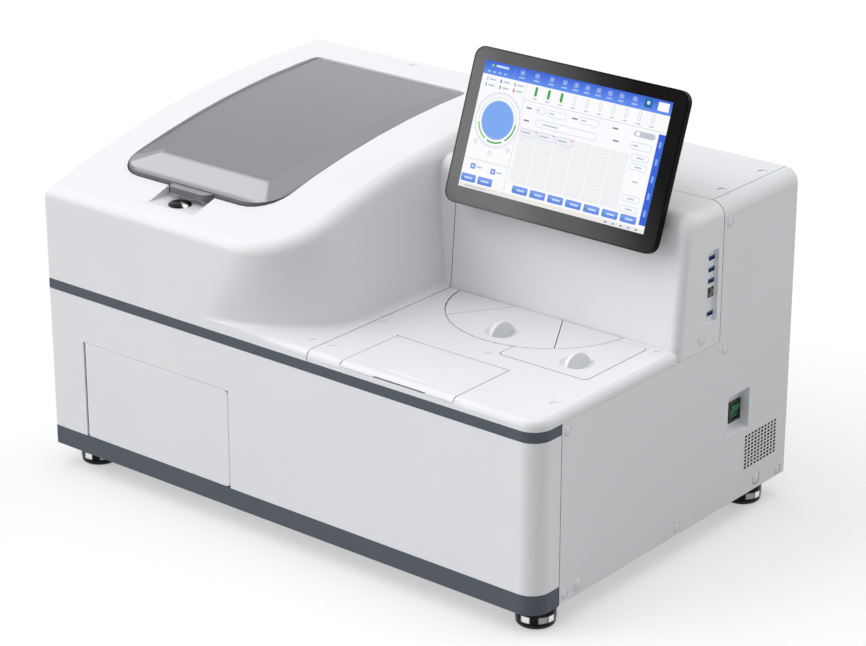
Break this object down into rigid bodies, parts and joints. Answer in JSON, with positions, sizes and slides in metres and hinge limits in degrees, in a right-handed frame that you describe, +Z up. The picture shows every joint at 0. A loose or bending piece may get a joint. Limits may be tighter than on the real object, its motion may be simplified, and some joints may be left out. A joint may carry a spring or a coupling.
{
  "type": "chemiluminescence immunoassay analyzer",
  "caption": "Bench-top chemiluminescence analyzer: hood with a smoked lid, desk with lift-off reagent covers, tower with a tilting display, and a front access door.",
  "frame": {"origin": "on the table under the middle of the case", "axes": "+X to the right seen from the front, -Y to the front, +Z up"},
  "size_m": [0.8, 0.531, 0.5903],
  "materials": {
    "white_shell": "white moulded covers, satin",
    "white_sheet": "light grey powder coat",
    "band_grey": "dark blue-grey moulding",
    "smoke_frame": "smoked grey moulding",
    "smoke_panel": "smoked grey panel, glossy",
    "chrome": "polished chrome",
    "steel": "plain steel",
    "rubber": "matt black rubber",
    "black_plastic": "matt black",
    "screen_glass": "glossy black front glass over the display",
    "switch_green": "translucent green",
    "zinc_sheet": "zinc-plated sheet",
    "board_green": "circuit board green",
    "clear_bottle": "milky bottle plastic",
    "supply_case": "plain aluminium case",
    "aluminium": "satin"
  },
  "bodies": {
    "case": {"base_band": "band_grey", "base_pan": "zinc_sheet", "desk_cover": "white_shell", "disc_cover_left": "white_shell", "disc_cover_right": "white_shell", "display_hinge_base": "black_plastic", "display_tilt_pin": "steel", "door_hinge_rod": "steel", "fan_frame": "black_plastic", "flap_hinge_rod": "steel", "flap_well": "white_shell", "front_panel": "white_shell", "hood_cover": "white_shell", "inner_frame": "zinc_sheet", "left_side_panel": "white_sheet", "lid_hinge_rod": "steel", "lid_seat": "white_shell", "main_board": "board_green", "mains_inlet": "black_plastic", "measuring_head": "black_plastic", "mid_band": "band_grey", "network_port": "black_plastic", "pipettor_column": "aluminium", "power_supply": "supply_case", "reaction_motor": "steel", "reagent_motor": "steel", "rear_panel": "white_sheet", "right_side_panel": "white_sheet", "switch_body": "black_plastic", "tower_front_cover": "white_shell", "tower_top_cover": "white_sheet", "usb_port_1": "steel", "usb_port_2": "steel", "usb_port_3": "steel", "usb_port_4": "steel", "wash_bottle": "clear_bottle", "waste_bottle": "clear_bottle"},
    "lid": {"lid_frame": "smoke_frame", "lid_panel": "smoke_panel"},
    "latch_button": {"latch_button": "chrome"},
    "front_door": {"front_door": "white_shell"},
    "reagent_flap": {"reagent_flap": "white_shell"},
    "disc_cover": {"disc_cover_middle": "white_shell"},
    "side_cover": {"side_cover": "white_shell"},
    "display": {"display_housing": "black_plastic", "display_glass": "screen_glass"},
    "rocker": {"switch_rocker": "switch_green"},
    "fan_rotor": {"fan_rotor": "black_plastic"},
    "reaction_disc": {"reaction_disc": "aluminium"},
    "reagent_disc": {"reagent_disc": "aluminium"},
    "pipettor_spindle": {"pipettor_spindle": "steel"},
    "pipettor_arm": {"pipettor_arm": "white_shell"},
    "foot_front_left": {"foot_front_left": "chrome", "foot_pad_front_left": "rubber"},
    "foot_front_right": {"foot_front_right": "chrome", "foot_pad_front_right": "rubber"},
    "foot_rear_left": {"foot_rear_left": "chrome", "foot_pad_rear_left": "rubber"},
    "foot_rear_right": {"foot_rear_right": "chrome", "foot_pad_rear_right": "rubber"}
  },
  "joints": [
    {"name": "lid_hinge", "type": "hinge", "parent": "case", "child": "lid", "pos_m": [-0.2051, 0.1885, 0.4607], "axis": [-1, 0, 0], "range_deg": [0, 75]},
    {"name": "latch_press", "type": "slide", "parent": "case", "child": "latch_button", "axis": [0, 0, -1], "range_m": [0, 0.003], "stiffness_N_per_m": 600, "springref_m": -0.003},
    {"name": "door_hinge", "type": "hinge", "parent": "case", "child": "front_door", "pos_m": [-0.3346, -0.2615, 0.0945], "axis": [0, 0, -1], "range_deg": [0, 100]},
    {"name": "flap_hinge", "type": "hinge", "parent": "case", "child": "reagent_flap", "pos_m": [0.189, -0.1607, 0.2754], "axis": [-1, 0, 0], "range_deg": [0, 95]},
    {"name": "disc_cover_lift", "type": "slide", "parent": "case", "child": "disc_cover", "axis": [0, 0, 1], "range_m": [0, 0.06]},
    {"name": "side_cover_lift", "type": "slide", "parent": "case", "child": "side_cover", "axis": [0, 0, 1], "range_m": [0, 0.06]},
    {"name": "display_tilt", "type": "hinge", "parent": "case", "child": "display", "pos_m": [0.2141, 0.05416, 0.47199], "axis": [-1, 0, 0], "range_deg": [-10, 20]},
    {"name": "power_rocker", "type": "hinge", "parent": "case", "child": "rocker", "pos_m": [0.3836, 0.1605, 0.15], "axis": [0, -1, 0], "range_deg": [0, 22]},
    {"name": "fan_spin", "type": "hinge", "parent": "case", "child": "fan_rotor", "pos_m": [-0.24, 0.2516, 0.142], "axis": [0, 1, 0], "continuous": true},
    {"name": "reaction_disc_spin", "type": "hinge", "parent": "case", "child": "reaction_disc", "pos_m": [-0.195, 0.0195, 0.247], "axis": [0, 0, 1], "continuous": true},
    {"name": "reagent_disc_spin", "type": "hinge", "parent": "case", "child": "reagent_disc", "pos_m": [0.1931, 0.0264, 0.23], "axis": [0, 0, 1], "continuous": true},
    {"name": "pipettor_lift", "type": "slide", "parent": "case", "child": "pipettor_spindle", "axis": [0, 0, 1], "range_m": [0, 0.05]},
    {"name": "pipettor_swing", "type": "hinge", "parent": "pipettor_spindle", "child": "pipettor_arm", "pos_m": [0, 0.1595, 0.357], "axis": [0, 0, 1], "range_deg": [-10, 115]},
    {"name": "foot_turn_front_left", "type": "hinge", "parent": "case", "child": "foot_front_left", "pos_m": [-0.366, -0.2195, 0.032], "axis": [0, 0, 1], "continuous": true},
    {"name": "foot_turn_rear_left", "type": "hinge", "parent": "case", "child": "foot_rear_left", "pos_m": [-0.366, 0.2215, 0.032], "axis": [0, 0, 1], "continuous": true},
    {"name": "foot_turn_front_right", "type": "hinge", "parent": "case", "child": "foot_front_right", "pos_m": [0.366, -0.2195, 0.032], "axis": [0, 0, 1], "continuous": true},
    {"name": "foot_turn_rear_right", "type": "hinge", "parent": "case", "child": "foot_rear_right", "pos_m": [0.366, 0.2215, 0.032], "axis": [0, 0, 1], "continuous": true}
  ]
}
